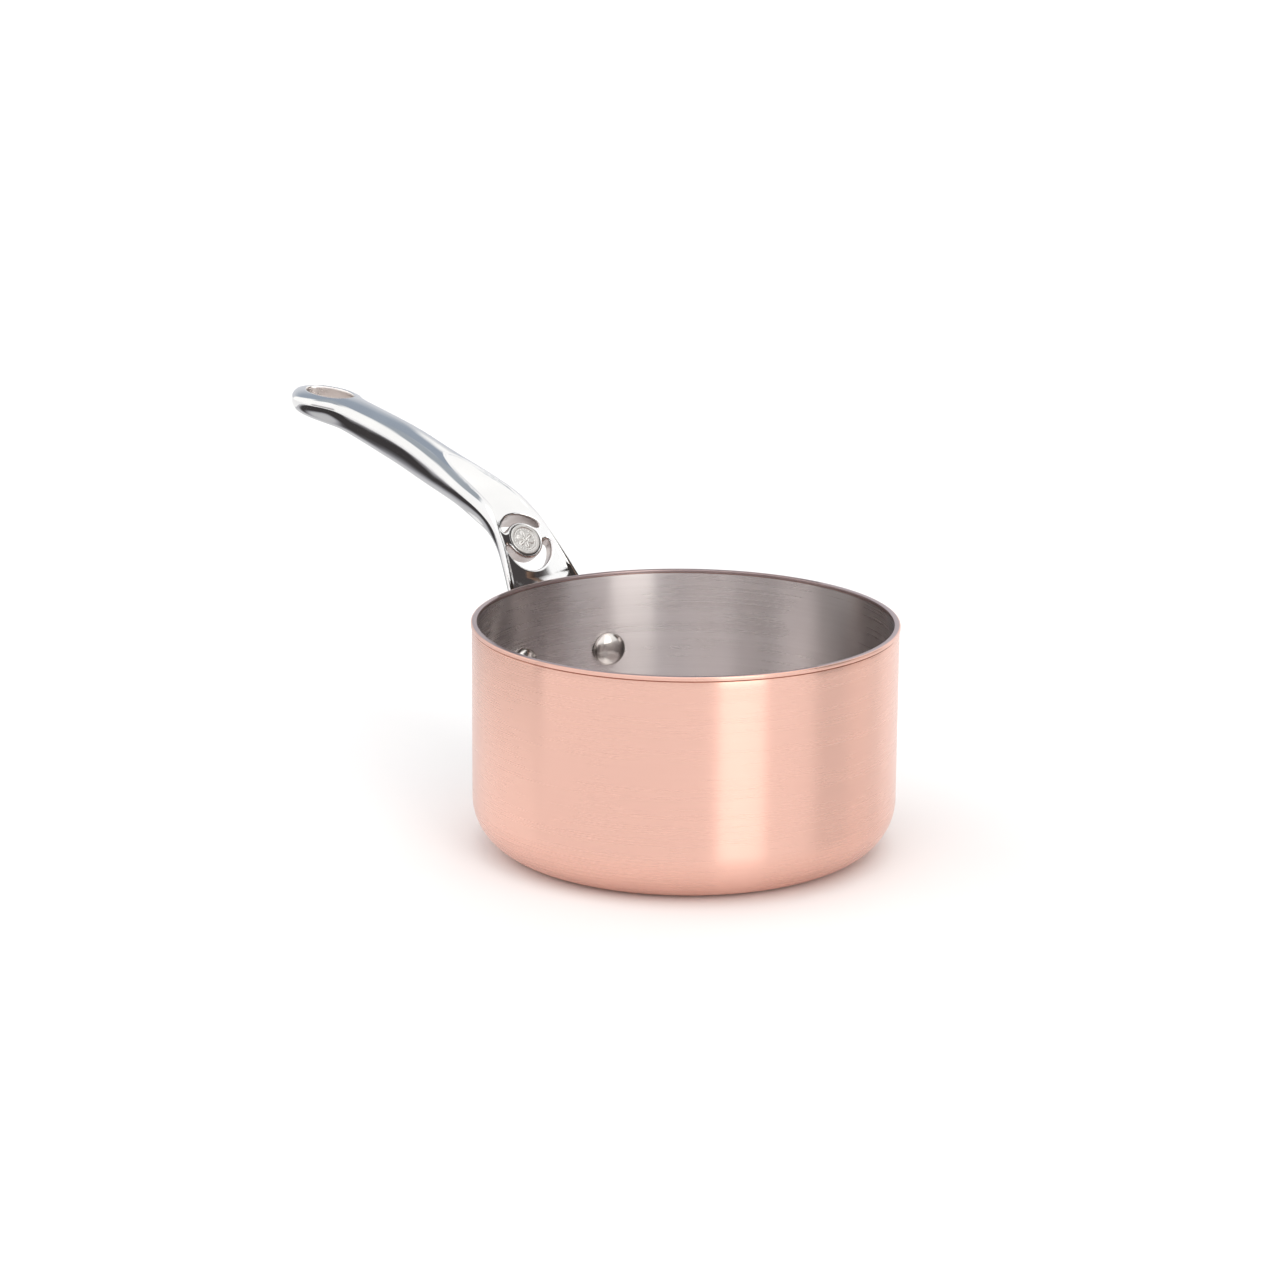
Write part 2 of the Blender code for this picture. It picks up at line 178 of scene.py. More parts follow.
# Points or columns worked on at once, which only limits the memory used.
SPINE_BATCH = 20000
GRID_BATCH = 40000
COLUMN_BATCH = 8000


# ---- meshes

def put_in_scene(name, data):
    """New object of this mesh or camera, linked to the scene."""
    obj = bpy.data.objects.new(name, data)
    bpy.context.collection.objects.link(obj)
    return obj


def plain_mesh(name, vertices, faces, material):
    """New mesh with one material."""
    mesh = bpy.data.meshes.new(name)
    mesh.from_pydata(vertices, [], faces)
    mesh.materials.append(material)
    return mesh


def make_object(name, vertices, faces, material, normals=None):
    """Smooth-shaded piece of the pan, riding on its one body."""
    mesh = plain_mesh(name, vertices, faces, material)
    mesh.validate()
    mesh.shade_smooth()
    if normals is not None:
        mesh.normals_split_custom_set_from_vertices(normals)
    obj = put_in_scene(name, mesh)
    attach(obj, "root")
    return obj


def turned_mesh(profile, segments):
    """Turn a closed (radius, height) profile about Z; points on the axis become poles."""
    vertices = []
    rings = []
    for radius, height in profile:
        if radius < 1e-6:
            rings.append([len(vertices)])
            vertices.append((0.0, 0.0, height * MM))
            continue
        ring = []
        for i in range(segments):
            angle = math.tau * i / segments
            ring.append(len(vertices))
            x, y = radius * math.cos(angle), radius * math.sin(angle)
            vertices.append((x * MM, y * MM, height * MM))
        rings.append(ring)
    faces = []
    for index, ring in enumerate(rings):
        other = rings[(index + 1) % len(rings)]
        if len(ring) == 1 and len(other) == 1:
            continue
        for i in range(segments):
            j = (i + 1) % segments
            if len(ring) == 1:
                faces.append((ring[0], other[j], other[i]))
            elif len(other) == 1:
                faces.append((ring[i], ring[j], other[0]))
            else:
                faces.append((ring[i], ring[j], other[j], other[i]))
    return vertices, faces


def arc(centre, radius, start, end, steps):
    """Points of an arc between two angles in degrees."""
    points = []
    for i in range(steps + 1):
        angle = math.radians(start + (end - start) * i / steps)
        points.append((centre[0] + radius * math.cos(angle), centre[1] + radius * math.sin(angle)))
    return points


def turned_object(name, profile, segments, material, matrix=None, sharp=30.0):
    """Piece turned from a closed profile, with edges over `sharp` degrees kept sharp."""
    vertices, faces = turned_mesh(profile, segments)
    if matrix is not None:
        vertices = [tuple(matrix @ Vector(v)) for v in vertices]
    obj = make_object(name, vertices, faces, material)
    obj.data.set_sharp_from_angle(angle=math.radians(sharp))
    return obj


# ---- handle

def catmull(rows, position):
    """Catmull-Rom values of a table of rows at an array of fractional row numbers."""
    last = len(rows) - 1
    index = np.clip(position.astype(int), 0, last - 1)
    t = (position - index)[:, None]
    p0 = rows[np.maximum(index - 1, 0)]
    p1 = rows[index]
    p2 = rows[index + 1]
    p3 = rows[np.minimum(index + 2, last)]
    a = 2.0 * p1
    b = p2 - p0
    c = 2.0 * p0 - 5.0 * p1 + 4.0 * p2 - p3
    d = -p0 + 3.0 * p1 - 3.0 * p2 + p3
    return 0.5 * (a + b * t + c * t * t + d * t * t * t)


def smoothed(values, spread):
    """Gaussian smoothing along the first axis; the ends are carried on in a straight line."""
    reach = int(4 * spread)
    if reach < 1:
        return values
    kernel = np.exp(-0.5 * (np.arange(-reach, reach + 1) / spread) ** 2)
    kernel /= kernel.sum()
    before = 2.0 * values[0] - values[reach:0:-1]
    after = 2.0 * values[-1] - values[-2:-reach - 2:-1]
    padded = np.concatenate((before, values, after))
    return np.stack([np.convolve(column, kernel, "valid") for column in padded.T], axis=1)


class Spine:
    """The handle's centre line at even steps, with the section's sizes at each step."""

    def __init__(self):
        rows = HANDLE_STATIONS.copy()
        rows[:, 2:5] = rows[:, 2:5] ** 2
        dense = catmull(rows, np.linspace(0.0, len(rows) - 1, 4001))
        step = np.hypot(np.diff(dense[:, 0]), np.diff(dense[:, 1]))
        length = np.concatenate(((0.0,), np.cumsum(step)))
        count = int(length[-1] / SPINE_STEP)
        at = np.linspace(0.0, length[-1], count + 1)
        even = np.stack([np.interp(at, length, column) for column in dense.T], axis=1)
        even = smoothed(even, SPINE_SMOOTHING / SPINE_STEP)
        self.step = length[-1] / count
        self.point = even[:, 0:2]
        self.size = np.sqrt(np.maximum(even[:, 2:5], 0.04))
        self.rest = even[:, 5:8]
        along = np.gradient(self.point, axis=0)
        self.along = along / np.linalg.norm(along, axis=1)[:, None]
        self.last = count

    def offset(self, where, x, z):
        """Distances along and across the spine, from its point at `where` to each given point."""
        index = np.clip(where.astype(int), 0, self.last - 1)
        f = (where - index)[:, None]
        base = self.point[index] * (1.0 - f) + self.point[index + 1] * f
        along = self.along[index] * (1.0 - f) + self.along[index + 1] * f
        along /= np.linalg.norm(along, axis=1)[:, None]
        ex = x - base[:, 0]
        ez = z - base[:, 1]
        return ex * along[:, 0] + ez * along[:, 1], -ex * along[:, 1] + ez * along[:, 0]

    def locate(self, x, z):
        """Position along the spine (in steps), distance across it and distance past its ends."""
        where = np.empty(len(x))
        across = np.empty(len(x))
        past = np.empty(len(x))
        for start in range(0, len(x), SPINE_BATCH):
            part = slice(start, start + SPINE_BATCH)
            dx = x[part, None] - self.point[None, ::SPINE_STRIDE, 0]
            dz = z[part, None] - self.point[None, ::SPINE_STRIDE, 1]
            near = np.argmin(dx * dx + dz * dz, axis=1) * float(SPINE_STRIDE)
            for _ in range(5):
                slide = self.offset(near, x[part], z[part])[0]
                near = np.clip(near + slide / self.step, 0.0, self.last)
            where[part] = near
            slide, across[part] = self.offset(near, x[part], z[part])
            past[part] = np.where(near >= self.last, slide, np.where(near <= 0.0, -slide, -99.0))
        return where, across, past

    def sizes(self, where):
        """Half width, height above, depth below, roundness, curvature and crown of the section."""
        grid = np.arange(self.last + 1)
        values = [np.interp(where, grid, column) for column in self.size.T]
        values += [np.interp(where, grid, column) for column in self.rest.T]
        return values

    def x_at(self, where):
        """The spine's x at each position."""
        return np.interp(where, np.arange(self.last + 1), self.point[:, 0])


def eased(value, start, end):
    """Smooth step from 0 at start to 1 at end; either may be the greater."""
    t = np.clip((value - start) / (end - start), 0.0, 1.0)
    return t * t * (3.0 - 2.0 * t)


def smooth_max(a, b, radius):
    """Greater of two distances, with the corner between them rounded."""
    h = np.maximum(radius - np.abs(a - b), 0.0) / radius
    return np.maximum(a, b) + h * h * radius * 0.25


def lift(u, curvature):
    """Rise of an arc of this curvature (1/mm) at a distance u from its middle."""
    inside = np.clip(1.0 - (curvature * u) ** 2, 0.05, None)
    return np.where(curvature > 1e-5, (1.0 - np.sqrt(inside)) / np.maximum(curvature, 1e-5), 0.0)


class Handle:
    """Distance function of the handle, in millimetres; negative inside."""

    def __init__(self):
        self.spine = Spine()
        rows = catmull(FACE_STATIONS, np.linspace(0.0, len(FACE_STATIONS) - 1, 600))
        at = np.linspace(rows[0, 0], rows[-1, 0], 600)
        squared = np.interp(at, rows[:, 0], rows[:, 1] ** 2)
        spread = 1.0 / (at[1] - at[0])
        squared = smoothed(squared[:, None], spread)[:, 0]
        self.face_x = at
        self.face_half = np.sqrt(np.maximum(squared, 0.01))
        index = int(np.argmin(np.abs(self.spine.point[:, 0] - MEDALLION_X)))
        along = self.spine.along[index]
        self.blade_origin = self.spine.point[index]
        self.blade_along = along

    def blade_matrix(self):
        """Local X along the blade, local Y across it, local Z out of its front face."""
        matrix = Matrix.Identity(4)
        along = Vector((self.blade_along[0], 0.0, self.blade_along[1]))
        normal = Vector((-along.z, 0.0, along.x))
        matrix.col[0][:3] = along
        matrix.col[1][:3] = normal.cross(along)
        matrix.col[2][:3] = normal
        matrix.col[3][:3] = Vector((self.blade_origin[0], 0.0, self.blade_origin[1])) * MM
        return matrix

    def blade_plane(self, x, z):
        """Distance along the blade from the medallion's middle, and out of the front face."""
        dx = x - self.blade_origin[0]
        dz = z - self.blade_origin[1]
        along = dx * self.blade_along[0] + dz * self.blade_along[1]
        out = -dx * self.blade_along[1] + dz * self.blade_along[0]
        return along, out

    def wall_slots(self, points, faces, normals):
        """Material number of each face: 1 in a curved slot's wall, where shade is painted, 2 in the
        loop's wall, else 0.
        """
        middle = points[faces].mean(axis=1)
        facing = normals[faces].mean(axis=1)
        a, c = self.blade_plane(middle[:, 0], middle[:, 2])
        tilt = -facing[:, 0] * self.blade_along[1] + facing[:, 2] * self.blade_along[0]
        side = np.abs(middle[:, 1])
        radius = np.hypot(a, side)
        slot = (radius > SLOT_INNER_RADIUS - 0.6) & (radius < SLOT_LENGTH_RADIUS + 1.0)
        slot &= (np.abs(a) < SLOT_LENGTH_RADIUS) & (side < SLOT_WIDTH_RADIUS + 0.4)
        slot &= (c > -16.0) & (c < 0.4) & (np.abs(tilt) < 0.75)
        k = np.hypot(
            (middle[:, 0] - HOLE_X) / (HOLE_HALF_LENGTH + 0.5),
            middle[:, 1] / (HOLE_HALF_WIDTH + 0.5))
        hole = (k < 1.0) & (np.abs(facing[:, 2]) < 0.8)
        return np.where(hole, 2, np.where(slot, 1, 0)).astype(np.int32)

    def slot(self, a, b, upper):
        """Distance to the outline of one curved slot in the blade's own plane."""
        radius = np.hypot(a, b)
        angle = np.arctan2(b, a if upper else -a)
        half = math.radians(UPPER_SLOT_HALF_ANGLE if upper else LOWER_SLOT_HALF_ANGLE)
        c = np.cos(angle) * (1.0 if upper else -1.0)
        s = np.sin(angle)
        reach = 1.0 / np.sqrt((c / SLOT_LENGTH_RADIUS) ** 2 + (s / SLOT_WIDTH_RADIUS) ** 2)
        reach = reach + SLOT_CENTRE_SHIFT * c
        over = np.clip(np.abs(angle) - half, -1.2, 1.2)
        end = radius * np.sin(over)
        end = np.where(np.cos(angle) < -0.2, np.maximum(end, 3.0), end)
        ring = smooth_max(SLOT_INNER_RADIUS - radius, radius - reach, 0.3)
        return smooth_max(ring, end, 3.0)

    def field(self, x, y, z, located=None):
        """Distance to the surface at each point; `located` is Spine.locate's answer for them."""
        where, across, past = located if located is not None else self.spine.locate(x, z)
        half, above, below, roundness, curvature, crown = self.spine.sizes(where)
        u = np.abs(y)
        leaned = across - lift(u, curvature)
        q = leaned - crown + above
        h = np.where(q > 0.0, above, below)
        au = np.maximum(u / half, 1e-4)
        aq = np.maximum(np.abs(q) / h, 1e-4)
        g = (au ** roundness + aq ** roundness) ** (1.0 / roundness)
        gu = (au / g) ** (roundness - 1.0) / half
        gq = (aq / g) ** (roundness - 1.0) / h
        body = (g - 1.0) / np.sqrt(gu * gu + gq * gq)
        body = smooth_max(body, past - 0.15, END_ROUNDING)

        along_x = self.spine.x_at(where)
        face = np.interp(along_x, self.face_x, self.face_half)
        floor = FACE_DISH * (u / np.maximum(face, 0.5)) ** 2
        root = np.clip((FACE_ROOT_X - along_x) / FACE_ROOT_LENGTH, 0.0, 2.0)
        floor = floor + FACE_ROOT_RISE * root ** 1.5
        floor = floor - FACE_DROP * eased(along_x, 161.0, 141.0) * eased(along_x, 111.0, 125.0)
        side = u - face - 0.25 * (leaned - floor)
        sunk = smooth_max(side, floor - leaned, FACE_FLOOR_ROUNDING)
        sunk = smooth_max(sunk, along_x - FACE_END_X, FACE_END_ROUNDING)
        sunk = np.maximum(sunk, FACE_START_X - along_x)
        result = smooth_max(body, -sunk, FACE_EDGE_ROUNDING)

        # Curved slots and the medallion's seat.
        a, c = self.blade_plane(x, z)
        near = (np.abs(a) < 18.0) & (np.abs(c) < 24.0)
        if near.any():
            an, bn, cn = a[near], y[near], c[near]
            part = result[near]
            for upper in (True, False):
                part = smooth_max(part, -self.slot(an, bn, upper), SLOT_EDGE_ROUNDING)
            seat = np.hypot(an, bn) - (MEDALLION_RADIUS + SEAT_GAP)
            seat = smooth_max(seat, -SEAT_DEPTH - cn, SEAT_FLOOR_ROUNDING)
            part = smooth_max(part, -seat, SEAT_EDGE_ROUNDING)
            result[near] = part

        # Hanging hole.
        near = x > 228.0
        if near.any():
            hx = (x[near] - HOLE_X) / HOLE_HALF_LENGTH
            hy = y[near] / HOLE_HALF_WIDTH
            k = np.sqrt(hx * hx + hy * hy)
            slope = np.sqrt((hx / HOLE_HALF_LENGTH) ** 2 + (hy / HOLE_HALF_WIDTH) ** 2)
            hole = k * (k - 1.0) / np.maximum(slope, 1e-4)
            result[near] = smooth_max(result[near], -hole, HOLE_EDGE_ROUNDING)

        # Countersunk rivet holes in the foot plate.
        near = z < 68.0
        if near.any():
            part = result[near]
            for side in (1.0, -1.0):
                angle = math.radians(RIVET_AZIMUTH) * side
                out = x[near] * math.cos(angle) + y[near] * math.sin(angle)
                across_y = -x[near] * math.sin(angle) + y[near] * math.cos(angle)
                radius = np.hypot(across_y, z[near] - RIVET_HEIGHT)
                bore_radius = RIVET_SHANK_RADIUS + RIVET_CLEARANCE
                start = RIVET_TAIL_END - RIVET_SINK_DEPTH
                cone = radius - np.clip(bore_radius + (out - start) * 1.06, 0.0, 5.0)
                sink = np.minimum(radius - bore_radius, np.maximum(cone * 0.7, start - out))
                part = smooth_max(part, -sink, BORE_EDGE_ROUNDING)
            result[near] = part
        return result


def surface_net(handle, pitch):
    """Closed quad mesh of the handle: one vertex in each cell that the surface crosses."""
    xs = np.arange(*NET_X, pitch)
    zs = np.arange(*NET_Z, pitch)
    count = int(NET_HALF_WIDTH / pitch)
    ys = (np.arange(-count, count) + 0.5) * pitch
    gx, gz = np.meshgrid(xs, zs, indexing="ij")
    flat_x, flat_z = gx.ravel(), gz.ravel()
    spine = handle.spine
    coarse = spine.point[::6]

    # Columns of cells along Y that can meet the handle.
    close = np.zeros(len(flat_x), bool)
    for start in range(0, len(flat_x), GRID_BATCH):
        part = slice(start, start + GRID_BATCH)
        dx = flat_x[part, None] - coarse[None, :, 0]
        dz = flat_z[part, None] - coarse[None, :, 1]
        close[part] = (dx * dx + dz * dz).min(axis=1) < 18.0 ** 2
    picked = np.nonzero(close)[0]
    where, across, past = spine.locate(flat_x[picked], flat_z[picked])
    half, above, below, _, curvature, crown = spine.sizes(where)
    top = crown + lift(half, curvature) + NET_MARGIN
    bottom = crown - above - below - NET_MARGIN
    keep = (across < top) & (across > bottom) & (past < 2.5)
    picked = picked[keep]
    where, across, past = where[keep], across[keep], past[keep]
    # The field at every corner of those columns; the far half mirrors the near one.
    columns = len(picked)
    ny = len(ys)
    values = np.empty((columns, ny), np.float32)
    mirror = ys[count:]
    for start in range(0, columns, COLUMN_BATCH):
        part = slice(start, min(start + COLUMN_BATCH, columns))
        n = part.stop - part.start
        x = np.repeat(flat_x[picked[part]], count)
        z = np.repeat(flat_z[picked[part]], count)
        y = np.tile(mirror, n)
        located = [np.repeat(item[part], count) for item in (where, across, past)]
        sampled = handle.field(x, y, z, located).reshape(n, count)
        values[part, count:] = sampled
        values[part, :count] = sampled[:, ::-1]

    index_of = np.full(len(flat_x), -1)
    index_of[picked] = np.arange(columns)
    index_of = index_of.reshape(gx.shape)
    ix, iz = np.unravel_index(picked, gx.shape)

    def neighbour(step_x, step_z):
        """Number of the column beside each one, or -1 where there is none."""
        jx, jz = ix + step_x, iz + step_z
        inside = (jx >= 0) & (jz >= 0) & (jx < gx.shape[0]) & (jz < gx.shape[1])
        found = np.full(columns, -1)
        found[inside] = index_of[jx[inside], jz[inside]]
        return found

    # One vertex in each crossed cell, at the mean of the crossings on its twelve edges.
    right, up, corner = neighbour(1, 0), neighbour(0, 1), neighbour(1, 1)
    whole = np.nonzero((right >= 0) & (up >= 0) & (corner >= 0))[0]
    stack = np.stack([values[c] for c in (whole, right[whole], up[whole], corner[whole])])
    negative = stack < 0.0
    inner = negative[:, :, :-1].sum(axis=0) + negative[:, :, 1:].sum(axis=0)
    cell_row, cell_y = np.nonzero((inner > 0) & (inner < 8))
    cell_column = whole[cell_row]
    corners = np.empty((len(cell_row), 8))
    for k in range(4):
        corners[:, k] = stack[k, cell_row, cell_y]
        corners[:, k + 4] = stack[k, cell_row, cell_y + 1]
    sides = ((0, 0), (1, 0), (0, 1), (1, 1))
    place = np.array([(dx, dy, dz) for dy in (0, 1) for dx, dz in sides], float)
    edges = [(0, 1), (2, 3), (0, 2), (1, 3), (4, 5), (6, 7), (4, 6), (5, 7)]
    edges += [(0, 4), (1, 5), (2, 6), (3, 7)]
    total = np.zeros((len(cell_row), 3))
    number = np.zeros(len(cell_row))
    for i, j in edges:
        fi, fj = corners[:, i], corners[:, j]
        crosses = (fi < 0.0) != (fj < 0.0)
        t = np.where(crosses, fi / np.where(crosses, fi - fj, 1.0), 0.0)
        spot = place[i] + (place[j] - place[i]) * t[:, None]
        total += spot * crosses[:, None]
        number += crosses
    total /= number[:, None]
    base = np.stack((xs[ix[cell_column]], ys[cell_y], zs[iz[cell_column]]), axis=1)
    points = base + total * pitch

    vertex_of = np.full((columns, ny - 1), -1)
    vertex_of[cell_column, cell_y] = np.arange(len(cell_row))
    left, down, both = neighbour(-1, 0), neighbour(0, -1), neighbour(-1, -1)

    quads = []

    def cell(column, j):
        """Vertex of each cell, or -1 where there is no such column."""
        return np.where(column >= 0, vertex_of[column, j], -1)

    def add(first, second, third, fourth, inward):
        """Faces round crossed grid edges, turned over where `inward` says so."""
        good = (first >= 0) & (second >= 0) & (third >= 0) & (fourth >= 0)
        rows = np.stack((first, second, third, fourth), axis=1)[good]
        flip = inward[good]
        rows[flip] = rows[flip][:, ::-1]
        quads.append(rows)

    # Edges along Y, between samples j and j + 1 of one column.
    sign = values < 0.0
    column, j = np.nonzero(sign[:, :-1] != sign[:, 1:])
    add(
        vertex_of[column, j],
        cell(down[column], j),
        cell(both[column], j),
        cell(left[column], j),
        ~sign[column, j],
    )
    # Edges along X, between a column and its right neighbour.
    base_column = np.nonzero(right >= 0)[0]
    row, j = np.nonzero(sign[base_column] != sign[right[base_column]])
    column = base_column[row]
    inside = (j > 0) & (j < ny - 1)
    column, j = column[inside], j[inside]
    add(
        vertex_of[column, j],
        vertex_of[column, j - 1],
        cell(down[column], j - 1),
        cell(down[column], j),
        ~sign[column, j],
    )
    # Edges along Z, between a column and the one above it.
    base_column = np.nonzero(up >= 0)[0]
    row, j = np.nonzero(sign[base_column] != sign[up[base_column]])
    column = base_column[row]
    inside = (j > 0) & (j < ny - 1)
    column, j = column[inside], j[inside]
    add(
        vertex_of[column, j],
        cell(left[column], j),
        cell(left[column], j - 1),
        vertex_of[column, j - 1],
        ~sign[column, j],
    )
    points, normals = settled(handle, points, pitch)
    return points, np.concatenate(quads), normals


def settled(handle, points, pitch):
    """Points moved onto the handle's surface, and the surface's normals there."""

    def slope(spots):
        """Gradient of the field."""
        reach = 0.02
        parts = []
        for axis in range(3):
            ahead = spots.copy()
            behind = spots.copy()
            ahead[:, axis] += reach
            behind[:, axis] -= reach
            parts.append((handle.field(*ahead.T) - handle.field(*behind.T)) / (2.0 * reach))
        return np.stack(parts, axis=1)

    for _ in range(2):
        gradient = slope(points)
        value = handle.field(*points.T)
        move = value[:, None] * gradient / np.maximum((gradient ** 2).sum(axis=1), 0.05)[:, None]
        size = np.linalg.norm(move, axis=1)[:, None]
        points = points - move * np.minimum(1.0, 0.4 * pitch / np.maximum(size, 1e-9))
    gradient = slope(points)
    return points, gradient / np.linalg.norm(gradient, axis=1)[:, None]


# ---- pieces

def copper_profile():
    """Bowl with a proud lip, a groove under it and a ledge inside that covers the lining."""
    outer = OUTER_RADIUS
    inner = outer - COPPER_THICKNESS
    lip = outer + LIP_PROUD
    top = PAN_HEIGHT
    low = top - LIP_HEIGHT
    profile = [(INNER_RADIUS, top - RIM_LEDGE)]
    profile += arc((INNER_RADIUS + 0.28, top - 0.28), 0.28, 180.0, 90.0, 5)
    profile += arc((lip - 0.5, top - 0.5), 0.5, 90.0, 0.0, 8)
    profile += arc((lip - 0.22, low + 0.22), 0.22, 0.0, -80.0, 4)
    wall_top = low - 0.42
    profile += [(outer - 0.12, low - 0.03), (outer - 0.14, low - 0.15)]
    profile += [(outer - 0.04, low - 0.3), (outer, wall_top)]
    for i in range(1, WALL_ROWS):
        profile.append((outer, wall_top + (CORNER_RADIUS - wall_top) * i / WALL_ROWS))
    profile += arc((outer - CORNER_RADIUS, CORNER_RADIUS), CORNER_RADIUS, 0.0, -90.0, 28)
    for radius in (60.0, 50.0, 40.0, 30.0, 20.0, 10.0, 4.0, 0.0):
        profile.append((radius, 0.0))
    profile += [(0.0, COPPER_THICKNESS), (30.0, COPPER_THICKNESS)]
    bend = CORNER_RADIUS - COPPER_THICKNESS
    profile += arc((outer - CORNER_RADIUS, CORNER_RADIUS), bend, -90.0, 0.0, 12)
    profile += [(inner, top - RIM_LEDGE - 1.0), (inner, top - RIM_LEDGE)]
    return profile


def lining_profile():
    """Thin skin inside the copper, up to the ledge under the rim."""
    outer = INNER_RADIUS + LINING_THICKNESS
    centre = (OUTER_RADIUS - CORNER_RADIUS, CORNER_RADIUS)
    bend = outer - centre[0]
    top = PAN_HEIGHT - RIM_LEDGE - SKIN_GAP
    profile = [(outer, top)]
    profile += arc(centre, bend, 0.0, -90.0, 12)
    underside = centre[1] - bend
    floor = underside + LINING_THICKNESS
    profile += [(0.0, underside), (0.0, floor)]
    for radius in (4.0, 10.0, 20.0, 30.0, 40.0, 50.0, 58.0):
        profile.append((radius, floor))
    profile += arc(centre, bend - LINING_THICKNESS, -90.0, 0.0, 28)
    for i in range(1, WALL_ROWS):
        profile.append((INNER_RADIUS, CORNER_RADIUS + (top - CORNER_RADIUS) * i / WALL_ROWS))
    profile += [(INNER_RADIUS, top)]
    return profile


def rivet_profile():
    """Domed head inside the pan, shank through the wall, tail in the foot plate."""
    seat = math.sqrt(INNER_RADIUS ** 2 - RIVET_HEAD_RADIUS ** 2) - RIVET_CLEARANCE
    tail = RIVET_TAIL_END
    profile = [(0.0, -(seat - RIVET_DOME))]
    steps = 22
    skirt = 0.45
    for i in range(1, steps + 1):
        angle = 0.5 * math.pi * i / steps
        rise = skirt + (RIVET_DOME - skirt) * math.cos(angle)
        profile.append((RIVET_HEAD_RADIUS * math.sin(angle), -(seat - rise)))
    profile += [(RIVET_HEAD_RADIUS - 0.02, -(seat - 0.2))]
    profile += [(RIVET_HEAD_RADIUS - 0.1, -(seat - 0.05))]
    profile += [(RIVET_HEAD_RADIUS - 0.25, -seat), (RIVET_SHANK_RADIUS, -seat)]
    profile += [(RIVET_SHANK_RADIUS, -(tail - 1.9)), (RIVET_TAIL_RADIUS, -(tail - 0.45))]
    profile += [(RIVET_TAIL_RADIUS - 0.2, -(tail - 0.22))]
    profile += [(RIVET_TAIL_RADIUS - 0.6, -(tail - 0.12))]
    profile += [(2.0, -(tail - 0.02)), (0.0, -tail)]
    return profile


def radial_matrix(azimuth, height):
    """Local Z points in to the pan's axis, from this azimuth (degrees) and height."""
    angle = math.radians(azimuth)
    inward = Vector((-math.cos(angle), -math.sin(angle), 0.0))
    across = Vector((0.0, 0.0, 1.0)).cross(inward)
    matrix = Matrix.Identity(4)
    matrix.col[0][:3] = across
    matrix.col[1][:3] = inward.cross(across)
    matrix.col[2][:3] = inward
    matrix.col[3][:3] = (0.0, 0.0, height * MM)
    return matrix


def medallion_mesh(matrix):
    """Round inset with a raised border and a plain six-petalled rosette in low relief."""
    top = MEDALLION_PROUD
    low = 0.25 - SEAT_DEPTH
    around = 144
    field_end = 5.0
    radii = np.concatenate((
        np.linspace(0.06, field_end, 46),
        np.linspace(field_end + 0.1, MEDALLION_RADIUS - 0.25, 14)))
    angles = np.arange(around) * math.tau / around

    def ridge(value, middle, width):
        """Rounded ridge of height 1."""
        return np.exp(-((value - middle) / width) ** 2)

    def height(radius, angle):
        """Height of the relief."""
        border_height = 0.42
        value = top - border_height + border_height * eased(radius, 5.05, 5.4)
        petal = np.abs(np.cos(3.0 * angle)) ** 0.7
        rise = eased(0.9 + 3.1 * petal - radius, 0.0, 0.55)
        crease = ridge(radius * np.sin(3.0 * angle) / 3.0, 0.0, 0.16)
        crease = crease * np.clip((radius - 1.2) / 0.6, 0.0, 1.0)
        value = value + 0.3 * rise * (1.0 - 0.45 * crease)
        value = value + 0.14 * ridge(radius, 0.75, 0.22) - 0.1 * ridge(radius, 1.15, 0.16)
        bead = ridge(radius, 4.5, 0.2) * np.clip(np.cos(24.0 * angle) * 1.6, 0.0, 1.0)
        return value + 0.12 * bead * (1.0 - rise)

    vertices = [(0.0, 0.0, float(height(np.array(0.0), np.array(0.0))))]
    rings = []
    for radius in radii:
        level = height(np.full(around, radius), angles)
        rings.append(range(len(vertices), len(vertices) + around))
        vertices += list(zip(radius * np.cos(angles), radius * np.sin(angles), level))
    sides = ((MEDALLION_RADIUS - 0.08, top - 0.07), (MEDALLION_RADIUS, top - 0.25))
    sides += ((MEDALLION_RADIUS, low + 0.2), (MEDALLION_RADIUS - 0.2, low))
    for radius, level in sides:
        rings.append(range(len(vertices), len(vertices) + around))
        vertices += [(radius * math.cos(a), radius * math.sin(a), level) for a in angles]
    bottom = len(vertices)
    vertices.append((0.0, 0.0, low))
    faces = []
    for i in range(around):
        j = (i + 1) % around
        faces.append((0, rings[0][i], rings[0][j]))
        for first, second in zip(rings, rings[1:]):
            faces.append((first[i], second[i], second[j], first[j]))
        faces.append((rings[-1][i], bottom, rings[-1][j]))
    placed = [tuple(matrix @ (Vector([float(value) for value in v]) * MM)) for v in vertices]
    return placed, faces


# ---- materials

# How brushed metal's noise is stretched: lines run on round the axis and are fine across it.
BRUSH_ALONG = 0.3
BRUSH_ACROSS = 60.0


